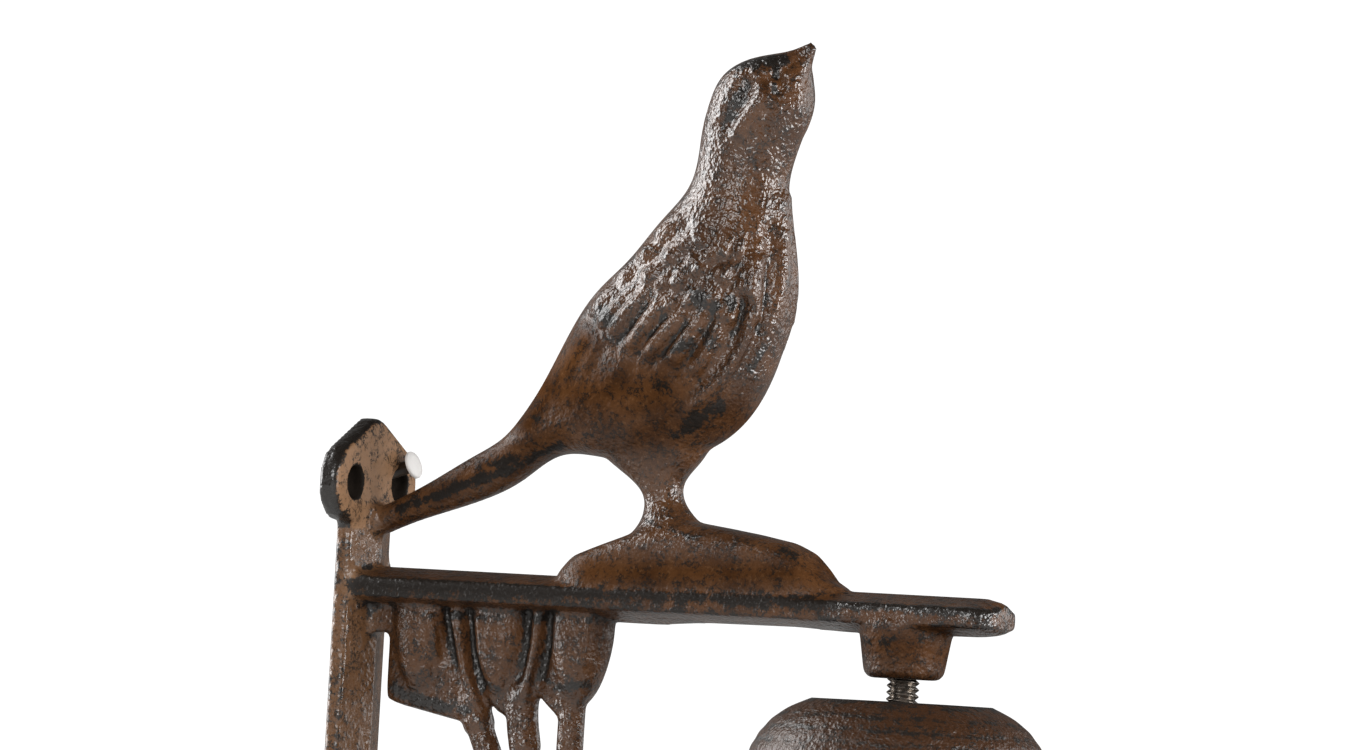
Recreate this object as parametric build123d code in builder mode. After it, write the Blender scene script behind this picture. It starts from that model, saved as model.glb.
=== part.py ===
from build123d import *
import os
from math import cos, radians, sin, sqrt

# Cast-iron wall bell: a songbird perched on a bracket, with a bell hung below the arm.
# Millimetres. The wall is the plane X = 0, the arm runs along +X and +Z is up.
# The casting parts on the plane Y = 0, and its two halves are alike.

# Wall plate: a strip with a ridge down its front and a rounded three-lobed head at each end.
plate_width = 16.6
plate_edge = 3.0
plate_ridge = 5.6
head_thickness = 4.0
head_round = 1.4
head_hole_radius = 2.9
head_hole_spread = 18.0
head_lobe_radius = 7.6
head_tip_radius = 6.4
head_tip_rise = 6.0
upper_holes_z = 20.0
hole_drop = 126.0

# Arm: six-sided section with a ridge above and below, and rounded corners at the tip.
arm_reach = 138.5
arm_width = 16.4
arm_top = 4.5
arm_edge_top = 2.2
arm_edge_bottom = 1.4
arm_bottom = 3.1
arm_tip_round = 6.0
corner_web = 5.5

# Boss under the arm, tapped for the hanger.
boss_setback = 20.9
boss_top_radius = 9.1
boss_bottom_radius = 7.5
boss_depth = 11.5
boss_round = 2.2
tap_depth = 10.0

# Perch: a low mound on the arm, and one thick leg with a waist. Each row of the mound gives X from
# the leg, Z above the arm's centre and the share of the full width there.
mound_rows = (
    (-21.6, 3.0, 0.4),
    (-19.8, 5.8, 0.62),
    (-16.6, 8.7, 0.84),
    (-11.2, 10.8, 0.96),
    (-6.0, 12.8, 1),
    (7.0, 15.9, 1),
    (13.5, 15.1, 1),
    (20.1, 14.2, 1),
    (27.0, 13.0, 0.97),
    (30.8, 11.4, 0.88),
    (33.4, 9.0, 0.77),
    (35.8, 6.4, 0.6),
    (40.0, 3.6, 0.36),
)
mound_width = 15.4
leg_x = 65.2
leg_waist_z = 20.8
leg_waist_length = 8.0
leg_waist_width = 7.4

# Gusset: a web below the arm with three swelling leaves, and ribs that run on as stems.
gusset_hem = (
    (25.2, -24.2), (28.2, -18.0), (36.2, -23.0), (40.8, -17.7), (48.0, -22.6), (51.6, -17.0),
    (54.6, -11.2), (55.7, -3.2),
)
gusset_heel = 20.6
gusset_gap = 3.4
gusset_root = 8.2
gusset_thickness = 5.0
leaf_first_x = 17.0
leaf_pitch = 15.95
leaf_length = 12.4
leaf_height = 19.0
leaf_thickness = 9.6
leaf_z = -10.5
stem_radius = 2.6
stem_arcs = (((24.6, 0.0), (28.2, -24.0)), ((41.2, 0.0), (38.0, -22.0)))
stalk_x = 48.2
stalk_lift = 44.0
stalk_radius = 3.5
stalk_bend = 30.0

# Bell: flat crown, round shoulder, waist and flared lip.
bell_gap = 4.4
bell_height = 63.0
crown_radius = 17.0
crown_thickness = 4.5
shoulder_radius = 28.4
shoulder_drop = 10.5
waist_radius = 31.0
waist_drop = 38.0
lip_radius = 41.0
bell_wall = 4.0

# Hanger: a threaded rod with an eye below, held under the crown by a washer and a nut.
rod_radius = 3.1
rod_clearance = 0.05
crown_hole_clearance = 0.5
washer_radius = 8.0
washer_thickness = 1.4
nut_flats = 11.0
nut_height = 5.4
eye_neck = 2.5
eye_ring_radius = 4.6
eye_wire_radius = 1.7

# Clapper: a ring that hangs in the eye, a stem, a ball and a tail pierced for a pull cord.
ring_clearance = 0.3
ring_radius = 4.4
ring_wire_radius = 1.5
clapper_stem_radius = 2.2
clapper_length = 40.0
ball_radius = 9.5
tail_length = 15.0
tail_radius = 3.6
cord_hole_radius = 1.7

# Bird: sections from the tail's foot to the beak. Each row gives the back point and the breast
# point in the plane Y = 0, and half the thickness there. A tail row's X is a share of the leg's
# distance from the wall, a body row's X is from the leg, and Z is above the arm's centre.
tail_sections = (
    ((0.035, 14.6), (0.061, 9.4), 2.9),
    ((0.150, 17.9), (0.179, 12.8), 3.0),
    ((0.273, 22.3), (0.319, 15.9), 3.3),
    ((0.371, 26.1), (0.429, 18.5), 3.8),
    ((0.466, 29.8), (0.537, 22.3), 4.6),
)
bird_sections = (
    ((-30.4, 34.4), (-22.4, 27.2), 6.2),
    ((-26.6, 40.3), (-9.6, 26.8), 8.4),
    ((-22.3, 48.6), (5.8, 28.6), 10.6),
    ((-16.4, 58.1), (16.7, 36.5), 12.0),
    ((-9.3, 65.1), (22.1, 48.2), 12.1),
    ((-2.9, 72.8), (23.9, 60.9), 10.8),
    ((2.0, 78.7), (22.8, 71.4), 8.8),
    ((3.7, 84.4), (21.8, 80.0), 7.6),
    ((4.3, 90.0), (23.4, 87.2), 7.9),
    ((5.5, 95.1), (25.3, 93.5), 8.1),
    ((8.3, 100.8), (25.7, 97.5), 7.0),
    ((14.2, 104.0), (25.3, 100.8), 4.8),
    ((20.7, 105.4), (25.7, 103.1), 2.3),
    ((25.3, 107.3), (26.7, 106.2), 0.9),
)
bird_eye = (21.1, 97.8)
bird_eye_spread = 6.0
bird_eye_radius = 1.5
wing_row_count = 7
wing_relief = 0.9
wing_sink = 0.5
wing_edge = (
    (4.0, 77.0), (16.6, 73.0), (20.6, 65.0), (20.0, 53.0), (15.6, 43.4), (8.0, 37.4), (-28.0, 33.0)
)
feather_count = 6
feather_groove = 1.1
feather_curve = 60.0
feather_tops = ((-8.0, 58.0), (18.0, 67.0))
feather_feet = ((-25.0, 34.0), (15.0, 45.0))

# Places that follow from the sizes above.
lower_holes_z = upper_holes_z - hole_drop
boss_x = arm_reach - boss_setback
stalk_knot_z = lower_holes_z + stalk_lift
crown_z = -boss_depth - bell_gap
washer_z = crown_z - crown_thickness
nut_z = washer_z - washer_thickness
eye_z = nut_z - nut_height - eye_neck - eye_ring_radius
ring_top_z = eye_z - eye_ring_radius + eye_wire_radius + ring_clearance + ring_wire_radius
ring_z = ring_top_z - ring_radius
ball_z = ring_top_z - clapper_length
tail_end_z = ball_z - ball_radius - tail_length


def across(back, breast):
    """The plane of a bird section, through its back and breast points and square to Y = 0."""
    middle = Vector(leg_x + (back[0] + breast[0]) / 2, 0, (back[1] + breast[1]) / 2)
    line = Vector(breast[0] - back[0], 0, breast[1] - back[1])
    return Plane(origin=middle, x_dir=line, z_dir=line.cross(Vector(0, 1, 0)))


def half_span(back, breast):
    """Half the distance between a section's back and breast points."""
    return sqrt((breast[0] - back[0]) ** 2 + (breast[1] - back[1]) ** 2) / 2


def between(first, last, share):
    """The point at a share of the way from the first to the last, as X and Z from the leg's foot."""
    return (
        leg_x + first[0] + share * (last[0] - first[0]),
        first[1] + share * (last[1] - first[1]),
    )


# Tail rows with their X counted from the leg
tail_rows = tuple(
    (((back[0] - 1) * leg_x, back[1]), ((breast[0] - 1) * leg_x, breast[1]), side)
    for back, breast, side in tail_sections
)

with BuildPart() as bird:
    for back, breast, side in tail_rows + bird_sections:
        with BuildSketch(across(back, breast)):
            Ellipse(half_span(back, breast), side)
    loft()
    # Eyes, a little proud of the head
    with Locations(
        (leg_x + bird_eye[0], bird_eye_spread, bird_eye[1]),
        (leg_x + bird_eye[0], -bird_eye_spread, bird_eye[1]),
    ):
        Sphere(bird_eye_radius)

with BuildPart() as wings:
    # A copy of the body, thicker at the middle and sunk in along the back, kept inside the wing's outline
    for row, (back, breast, side) in enumerate(bird_sections[:wing_row_count]):
        swell = (wing_relief + wing_sink) * sin(radians(180 * row / (wing_row_count - 1))) - wing_sink
        with BuildSketch(across(back, breast)):
            Ellipse(half_span(back, breast) - wing_sink, side + swell)
    loft()
    with BuildSketch(Plane.XZ):
        with BuildLine():
            outline = [(leg_x + x, z) for x, z in wing_edge]
            behind = (outline[-1][0] - arm_width, outline[0][1])
            Spline(outline)
            Polyline(outline[-1], behind, outline[0])
        make_face()
    extrude(amount=2 * arm_width, both=True, mode=Mode.INTERSECT)
    # Grooves between the feathers
    with BuildSketch(Plane.XZ):
        for feather in range(feather_count):
            share = (feather + 1) / (feather_count + 1)
            with BuildLine():
                RadiusArc(
                    between(*feather_tops, share), between(*feather_feet, share), feather_curve
                )
            trace(line_width=feather_groove)
    extrude(amount=2 * arm_width, both=True, mode=Mode.SUBTRACT)

with BuildPart() as leg:
    # Each row: height from the waist, shift along the arm, and length and width as times the waist's
    for rise, shift, length, width in (
        (-9.8, 2.2, 2.6, 1.8),
        (-5.2, 1.6, 1.5, 1.35),
        (-2.6, 0.6, 1.1, 1.08),
        (0, -0.4, 1, 1),
        (2.6, -1.6, 1.38, 1.14),
        (6.2, -2.8, 2.4, 1.46),
        (10.2, -3.2, 3.1, 1.9),
    ):
        with BuildSketch(Plane(origin=(leg_x + shift, 0, leg_waist_z + rise))):
            Ellipse(length * leg_waist_length / 2, width * leg_waist_width / 2)
    loft()

with BuildPart() as heads:
    for holes_z, side in ((upper_holes_z, 1), (lower_holes_z, -1)):
        with BuildSketch(Plane.YZ):
            with Locations((0, holes_z + side * head_tip_rise)):
                Circle(head_tip_radius)
            with Locations((-head_hole_spread / 2, holes_z), (head_hole_spread / 2, holes_z)):
                Circle(head_lobe_radius)
            make_hull()
        extrude(amount=head_thickness)
    fillet(heads.faces().group_by(Axis.X)[-1].edges(), radius=head_round)

with BuildPart() as arm:
    with BuildSketch(Plane.YZ):
        with BuildLine():
            Polyline(
                (-arm_width / 2, -arm_edge_bottom),
                (0, -arm_bottom),
                (arm_width / 2, -arm_edge_bottom),
                (arm_width / 2, arm_edge_top),
                (0, arm_top),
                (-arm_width / 2, arm_edge_top),
                close=True,
            )
        make_face()
    extrude(amount=arm_reach)
    fillet(arm.faces().sort_by(Axis.X)[-1].edges().filter_by(Axis.Z), radius=arm_tip_round)

with BuildPart() as boss:
    with BuildSketch(Plane.XZ):
        with BuildLine():
            Polyline(
                (boss_x, 0),
                (boss_x + boss_top_radius, 0),
                (boss_x + boss_bottom_radius, -boss_depth),
                (boss_x, -boss_depth),
                close=True,
            )
        make_face()
    revolve(axis=Axis((boss_x, 0, 0), (0, 0, 1)))
    fillet(boss.edges().sort_by(Axis.Z)[0], radius=boss_round)

with BuildPart() as mound:
    # Arched sections along the arm, steep at the sides and round on top
    for x, z, share in mound_rows:
        half = share * mound_width / 2
        with BuildSketch(Plane(origin=(leg_x + x, 0, 0), x_dir=(0, 1, 0), z_dir=(1, 0, 0))):
            with BuildLine():
                Spline(
                    (-half, 0), (-0.96 * half, 0.5 * z), (-0.68 * half, 0.88 * z), (0, z),
                    (0.68 * half, 0.88 * z), (0.96 * half, 0.5 * z), (half, 0),
                )
                Line((half, 0), (-half, 0))
            make_face()
    loft()

with BuildPart() as gusset:
    # Web: a gap beside the plate, a round end, and notches between the stems
    heel_x = plate_ridge + gusset_gap
    with BuildSketch(Plane.XZ):
        with BuildLine():
            hem_end = (gusset_hem[-1][0], 0)
            Polyline((heel_x, 0), (heel_x, -gusset_heel), *gusset_hem, hem_end, close=True)
        make_face()
    extrude(amount=gusset_thickness / 2, both=True)
    # Corner of the web that runs on to the plate under the arm
    with BuildSketch(Plane.XZ):
        with Locations((heel_x / 2, -gusset_root / 2)):
            Rectangle(heel_x, gusset_root)
    extrude(amount=gusset_thickness / 2, both=True)

with BuildPart() as leaves:
    for leaf in range(3):
        leaf_x = leaf_first_x + leaf * leaf_pitch
        for turn in (-65, -35, 0, 35, 65):
            with BuildSketch(
                Plane(origin=(leaf_x, 0, leaf_z + leaf_height / 2 * sin(radians(turn))))
            ):
                Ellipse(
                    leaf_length / 2 * cos(radians(turn)), leaf_thickness / 2 * cos(radians(turn))
                )
        loft()

with BuildPart() as stems:
    knot = (stalk_x, 0, stalk_knot_z)
    for top, middle in stem_arcs:
        with BuildLine() as stem_line:
            ThreePointArc((top[0], 0, top[1]), (middle[0], 0, middle[1]), knot)
        with BuildSketch(Plane(origin=stem_line.line @ 0, z_dir=stem_line.line % 0)):
            Circle(stem_radius)
        sweep()
    with BuildSketch(Plane.XY.offset(stalk_knot_z)):
        with Locations((stalk_x, 0)):
            Circle(stem_radius)
    extrude(amount=leaf_z - stalk_knot_z)

with BuildPart() as stalk:
    foot = (stalk_x - stalk_bend, 0, stalk_knot_z - stalk_bend)
    with BuildLine():
        ThreePointArc(
            knot,
            (
                stalk_x - stalk_bend * (1 - cos(radians(45))),
                0,
                stalk_knot_z - stalk_bend * sin(radians(45)),
            ),
            foot,
        )
        Line(foot, (plate_edge / 2, 0, foot[2]))
    with BuildSketch(Plane(origin=knot, z_dir=(0, 0, -1))):
        Circle(stalk_radius)
    sweep()
    with Locations(knot):
        Sphere(stalk_radius)

with BuildPart() as bracket:
    # Strip of the wall plate
    with BuildSketch(Plane.XY.offset(lower_holes_z)):
        with BuildLine():
            Polyline(
                (0, -plate_width / 2),
                (plate_edge, -plate_width / 2),
                (plate_ridge, 0),
                (plate_edge, plate_width / 2),
                (0, plate_width / 2),
                close=True,
            )
        make_face()
    extrude(amount=upper_holes_z - head_lobe_radius + plate_edge - lower_holes_z)
    # Concave web in the corner above the arm
    with BuildSketch(Plane.XZ):
        with BuildLine():
            corner = (plate_edge + corner_web, arm_edge_top)
            rise = (plate_edge, arm_edge_top + corner_web)
            RadiusArc(rise, corner, -corner_web)
            Polyline(corner, (corner[0], 0), (0, 0), (0, rise[1]), rise)
        make_face()
    extrude(amount=min(plate_width, arm_width) / 2, both=True)
    for form in (arm, boss, mound, heads, gusset, leaves, stems, stalk, leg, bird, wings):
        add(form.part)
    # Wall screw holes through the heads
    with BuildSketch(Plane.YZ):
        with Locations(Location((0, (upper_holes_z + lower_holes_z) / 2))):
            with GridLocations(head_hole_spread, upper_holes_z - lower_holes_z, 2, 2):
                Circle(head_hole_radius)
    extrude(amount=plate_ridge + head_thickness, mode=Mode.SUBTRACT)
    # Tapped hole in the boss
    with BuildSketch(Plane.XY.offset(-boss_depth)):
        with Locations((boss_x, 0)):
            Circle(rod_radius + rod_clearance)
    extrude(amount=tap_depth, mode=Mode.SUBTRACT)

with BuildPart() as bell:
    with BuildSketch(Plane.XZ):
        with BuildLine():
            mouth_z = crown_z - bell_height
            bore = boss_x + rod_radius + crown_hole_clearance
            crown = (boss_x + crown_radius, crown_z)
            shoulder = (boss_x + shoulder_radius, crown_z - shoulder_drop)
            waist = (boss_x + waist_radius, crown_z - waist_drop)
            lip = (boss_x + lip_radius, mouth_z)
            Line((bore, crown_z), crown)
            Spline(crown, shoulder, waist, lip, tangents=((1, -0.3), (0.6, -1)))
            lip_inside = (lip[0] - bell_wall, mouth_z)
            Line(lip, lip_inside)
            waist_inside = (waist[0] - bell_wall, waist[1])
            shoulder_inside = (shoulder[0] - bell_wall, shoulder[1] - bell_wall / 2)
            crown_inside = (crown[0], crown_z - crown_thickness)
            Spline(
                lip_inside,
                waist_inside,
                shoulder_inside,
                crown_inside,
                tangents=((-0.6, 1), (-1, 0.1)),
            )
            Line(crown_inside, (bore, crown_z - crown_thickness))
            Line((bore, crown_z - crown_thickness), (bore, crown_z))
        make_face()
    revolve(axis=Axis((boss_x, 0, 0), (0, 0, 1)))

with BuildPart() as hanger:
    # Rod, from the end of the tapped hole down to the eye
    with BuildSketch(Plane.XY.offset(eye_z + eye_ring_radius)):
        with Locations((boss_x, 0)):
            Circle(rod_radius)
    extrude(amount=tap_depth - boss_depth - eye_z - eye_ring_radius)
    chamfer(hanger.edges().group_by(Axis.Z)[0], length=(rod_radius - eye_wire_radius) / 2)
    # Eye, open along Y
    with Locations((boss_x, 0, eye_z)):
        Torus(eye_ring_radius, eye_wire_radius, rotation=(90, 0, 0))

with BuildPart() as washer:
    with BuildSketch(Plane.XY.offset(nut_z)):
        with Locations((boss_x, 0)):
            Circle(washer_radius)
            Circle(rod_radius + crown_hole_clearance, mode=Mode.SUBTRACT)
    extrude(amount=washer_thickness)

with BuildPart() as nut:
    with BuildSketch(Plane.XY.offset(nut_z - nut_height)):
        with Locations((boss_x, 0)):
            RegularPolygon(nut_flats / 2, 6, major_radius=False)
            Circle(rod_radius + rod_clearance, mode=Mode.SUBTRACT)
    extrude(amount=nut_height)

with BuildPart() as clapper:
    # Ring through the eye, open along X
    with Locations((boss_x, 0, ring_z)):
        Torus(ring_radius, ring_wire_radius, rotation=(0, 90, 0))
    # Stem, ball and tail
    with BuildSketch(Plane.XY.offset(tail_end_z)):
        with Locations((boss_x, 0)):
            Circle(clapper_stem_radius)
    extrude(amount=ring_z - ring_radius - tail_end_z)
    with Locations((boss_x, 0, ball_z)):
        Sphere(ball_radius)
    with Locations((boss_x, 0, tail_end_z)):
        Sphere(tail_radius)
    # Hole for the cord
    with BuildSketch(Plane.XZ):
        with Locations((boss_x, tail_end_z)):
            Circle(cord_hole_radius)
    extrude(amount=2 * tail_radius, both=True, mode=Mode.SUBTRACT)

bracket.part.label = "bracket"
bell.part.label = "bell"
hanger.part.label = "hanger"
washer.part.label = "washer"
nut.part.label = "nut"
clapper.part.label = "clapper"

os.makedirs("parts", exist_ok=True)
export_step(bracket.part, "parts/bracket.step")
export_step(bell.part, "parts/bell.step")
export_step(hanger.part, "parts/hanger.step")
export_step(washer.part, "parts/washer.step")
export_step(nut.part, "parts/nut.step")
export_step(clapper.part, "parts/clapper.step")
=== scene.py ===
"""Looks of a cast-iron wall bell: songbird casting, bell, threaded hanger, nail and studio."""

import math

import bmesh
import bpy
import numpy as np
from mathutils import Matrix, Vector


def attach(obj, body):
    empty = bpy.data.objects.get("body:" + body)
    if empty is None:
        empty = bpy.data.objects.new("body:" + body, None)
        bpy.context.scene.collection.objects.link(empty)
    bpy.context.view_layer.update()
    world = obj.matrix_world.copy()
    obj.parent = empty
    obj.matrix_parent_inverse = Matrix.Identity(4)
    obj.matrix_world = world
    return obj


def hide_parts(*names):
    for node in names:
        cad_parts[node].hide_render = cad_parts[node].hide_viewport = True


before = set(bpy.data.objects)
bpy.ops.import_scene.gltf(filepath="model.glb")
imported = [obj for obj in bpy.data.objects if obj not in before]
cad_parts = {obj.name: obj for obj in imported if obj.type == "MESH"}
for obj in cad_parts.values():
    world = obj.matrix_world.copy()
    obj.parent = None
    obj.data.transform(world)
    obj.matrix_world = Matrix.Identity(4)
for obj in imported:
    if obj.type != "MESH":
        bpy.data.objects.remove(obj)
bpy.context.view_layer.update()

bl_info = {
    "name": "Wall Bell",
    "version": (1, 0, 0),
    "blender": (4, 5, 0),
    "location": "View3D > Sidebar > Wall Bell",
    "description": "Builds a cast-iron wall bell with a songbird on its bracket",
    "category": "Add Mesh",
}

MM = 0.001

# Places that several pieces share, in millimetres.
BELL_AXIS = 117.6
HOLE_SIDE = 9.0
UPPER_HOLES = 20.0
LOWER_HOLES = -106.0
FLOOR_TOP = -130.0

# Camera's side view: how far a point slides along the arm for each millimetre sideways, and the shares of
# X and of either side in the direction to the camera.
VIEW_SKEW = 0.5095
VIEW_OUT, VIEW_SIDE = 0.454, 0.891

# Middle of the picture in millimetres, its width in pixels and its scale in pixels to a millimetre.
PICTURE_MIDDLE = (67.7, 0, 43.5)
PICTURE_WIDTH = 1367
PICTURE_SCALE = 5.3

# Bird, tail first: back point and breast point (X, Z) on the plane Y = 0, and half thickness. Millimetres.
BIRD_ROWS = np.array([
    (2.3, 14.6, 4, 9.4, 2.9), (9.8, 17.9, 11.7, 12.8, 3), (17.8, 22.3, 20.8, 15.9, 3.3),
    (24.2, 26.1, 28, 18.5, 3.8), (30.4, 29.8, 35, 22.3, 4.6), (34.8, 34.4, 42.8, 27.2, 6.2),
    (38.6, 40.3, 55.6, 26.8, 8.4), (42.9, 48.6, 71, 28.6, 10.6), (48.8, 58.1, 81.9, 36.5, 12),
    (55.9, 65.1, 87.3, 48.2, 12.1), (62.3, 72.8, 89.1, 60.9, 10.8), (67.2, 78.7, 88, 71.4, 8.8),
    (68.9, 84.4, 87, 80, 7.6), (69.5, 90, 88.6, 87.2, 7.9), (70.7, 95.1, 90.5, 93.5, 8.1),
    (73.5, 100.8, 90.9, 97.5, 7), (79.4, 104, 90.5, 100.8, 4.8), (85.9, 105.4, 90.9, 103.1, 2.3),
    (90.5, 107.3, 91.9, 106.2, 0.9),
])

# Top line of the mound along the arm (X, Z), millimetres.
MOUND_ROWS = np.array([
    (43.6, 3), (45.4, 5.8), (48.6, 8.7), (54, 10.8), (59.2, 12.8), (64.8, 15.2),
    (72.2, 15.9), (78.7, 15.1), (85.3, 14.2), (92.2, 13), (96, 11.4), (98.6, 9),
    (101, 6.4), (105.2, 4.6),
])

# Lower edge of the web under the arm (X, Z), with a notch at each side of the middle stem.
HEM_ROWS = np.array([
    (9, -20.6), (12, -21.6), (22, -23.6), (25.2, -24.2), (27, -20.6), (28.2, -18),
    (30.2, -19.4), (33.2, -22.2), (36.2, -23), (38.8, -20.4), (40.8, -17.7), (42.8, -19.8),
    (45.8, -22.4), (49.2, -21), (51.6, -17), (53.6, -14), (54.6, -11.2), (55.3, -6),
    (55.7, -3.2),
])

# Centre lines of the three stems (X, Z), from the arm down to the knot.
STEM_ROWS = (
    np.array([(24.6, -2), (25.2, -11), (26.4, -18), (28.8, -25), (35, -38), (48.2, -62)]),
    np.array([(41.2, -2), (39.6, -11), (37.7, -19), (38.8, -29), (42, -43), (48.2, -62)]),
    np.array([(48.4, -12), (48.2, -24), (48.2, -43), (48.2, -62)]),
)

# Lower ridge of the arm (X, Z).
ARM_KEEL = np.array([
    (0, -3.1), (52, -3.3), (57, -3.9), (66, -3.9), (75, -3.1), (95, -2.9), (106, -3.4), (132, -3),
    (140, -2.8),
])

# Leaves under the arm: middle along it and half length.
LEAVES = ((16, 6), (32.9, 5.8), (49.4, 6.2))

# Leg: height, middle along the arm, half length and half width.
LEG_ROWS = np.array([
    (11, 67.4, 10.4, 6.6), (15.6, 66.8, 6, 5), (18.2, 65.8, 4.4, 4), (20.8, 64.8, 4, 3.7),
    (23.4, 63.6, 5.5, 4.2), (27, 62.4, 9.6, 5.4), (31, 62, 12.4, 7),
])

# Bell: radius and height of the outside from the crown down, and of the inside from the lip up.
BELL_OUTSIDE = np.array([
    (17, -15.9), (22.4, -18.7), (27.4, -24.6), (29.4, -31), (30.2, -40), (31, -53.9),
    (33.4, -64.6), (36.6, -72.2), (40.6, -78.4),
])
BELL_INSIDE = np.array([
    (36.8, -78.6), (32.4, -71), (29.4, -63.8), (27, -53.9), (26.2, -41), (25.2, -33),
    (22.6, -26.4), (17, -20.6),
])

# Nail: radius of the head and shank, and distance from the foot.
NAIL_ROWS = np.array([
    (0.2, 9), (1.6, 8.95), (2.45, 8.8), (2.65, 8.5), (2.65, 8.1), (2.45, 7.9), (1.3, 7.8), (1.2, 2),
    (0.2, 1.9),
])

# Tables of strokes on the casting's sides, in side-view millimetres: how far along, then how far up.
# Feathers: start, end, width and height share.
FEATHERS = (
    (64.2, 73, 61, 70.2, 1.9, 0.8), (70.6, 72.6, 69.1, 69.1, 1.7, 0.7), (76.2, 71, 74.7, 67.1, 1.6, 0.8),
    (59.8, 69, 57.8, 66.2, 2, 0.9), (65.7, 68.9, 63.4, 65.4, 1.7, 0.8), (71.4, 66.6, 69.5, 63.4, 1.6, 0.8),
    (55.8, 65, 53.4, 62.2, 2, 0.9), (61.3, 64.5, 59, 61.8, 1.7, 0.8), (66.9, 63.7, 65, 60.6, 1.6, 0.8),
    (76.1, 65.3, 74.6, 62.2, 1.5, 0.8), (80.6, 67.8, 80.3, 59.5, 1.4, 0.9), (82.9, 65.6, 82.5, 55, 1.2, 0.7),
    (73.9, 61, 72.4, 57.9, 1.7, 0.9), (78.2, 59, 76.8, 54.7, 1.5, 0.8), (52.6, 61.1, 49.2, 55.6, 2, 0.9),
    (59.1, 60.3, 52.8, 51.6, 1.5, 1.1), (62.6, 57.4, 56.8, 49.2, 1.5, 1.1), (67, 55, 60.7, 47.9, 1.5, 1.1),
    (71.3, 55.2, 65.9, 47, 1.6, 1.2), (75.2, 53.9, 70.6, 45, 1.4, 0.9), (55.7, 60.1, 50.2, 52.6, 1.4, 0.9),
    (50.7, 51.9, 46.9, 44.9, 1.5, 0.5), (56.8, 48.4, 51.4, 40.2, 1.5, 0.5),
    (63.4, 45.7, 57.6, 37.5, 1.5, 0.5), (69.1, 43, 64, 35.9, 1.5, 0.45), (46.9, 50.9, 42.8, 42.8, 1.5, 0.4),
    (67.7, 70.5, 66.4, 67.8, 1.2, 0.7), (73.4, 68.6, 72.1, 65.8, 1.2, 0.7),
    (78.7, 70.7, 77.9, 67.3, 1.2, 0.7), (69, 66.8, 67.7, 64.9, 1.1, 0.6), (63.6, 62.8, 61.6, 60, 1.2, 0.8),
    (69.6, 60.4, 68.2, 57.3, 1.2, 0.8), (75.7, 58.5, 74.4, 55.4, 1.1, 0.7),
    (79.4, 63.2, 78.8, 60.1, 1.1, 0.7), (71.4, 62.4, 70.1, 60.1, 1.1, 0.6), (65.5, 59.1, 63.6, 56, 1.1, 0.7),
)
# Lines on the bird and on the leaves: points, width and height share, negative for grooves.
BODY_LINES = (
    (((81.8, 65.6), (81.5, 57.4), (80.8, 52.7), (79, 47.3), (75.9, 43), (71.1, 38.6), (66.6, 36.1)),
     1.3, 1.4),
    (((86.6, 77.5), (87.6, 71), (87.8, 64.9), (87.1, 59.1), (84.8, 49.5)), 1.4, 0.9),
    (((84.2, 72.1), (84.8, 65.2), (84.4, 58.5), (83.1, 51.9), (79.9, 45.8), (76, 41.1)), 1.3, -0.9),
    (((79.3, 58.3), (78.6, 52.9), (76.8, 48.7), (72.9, 43.6)), 1.2, -0.6),
)
LEAF_LINES = (
    (((17, -4.6), (18, -9.9), (19, -12.9), (20.1, -15.8)), 0.9, 0.7),
    (((22.2, -3.6), (23.6, -8.8), (25.1, -14.8), (27.3, -20), (28.8, -22.2)), 0.9, 1.3),
    (((27.4, -4.5), (28.5, -11.4), (30.8, -15.3), (32.7, -17.5)), 0.8, 0.8),
    (((40.2, -2.7), (39.9, -8), (39.2, -12.6), (38, -17.6), (37.5, -20.2)), 0.9, 1.3),
    (((50.7, -3.3), (50.7, -7.5), (50.1, -11.3), (49, -13.6)), 0.9, 0.8),
    (((20.3, -3.7), (21.6, -9.9), (23.2, -15.7), (25.2, -20.1)), 0.8, -1),
    (((25, -3.5), (26.3, -10.6), (28.8, -16.9), (29.8, -18.4)), 0.8, -1),
    (((37.7, -2.8), (37.7, -9.1), (36.7, -14.6), (35.6, -17.3)), 0.8, -1),
    (((42.3, -2.6), (42.3, -8.8), (41.6, -14), (40.7, -17.4)), 0.8, -1),
)

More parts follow.
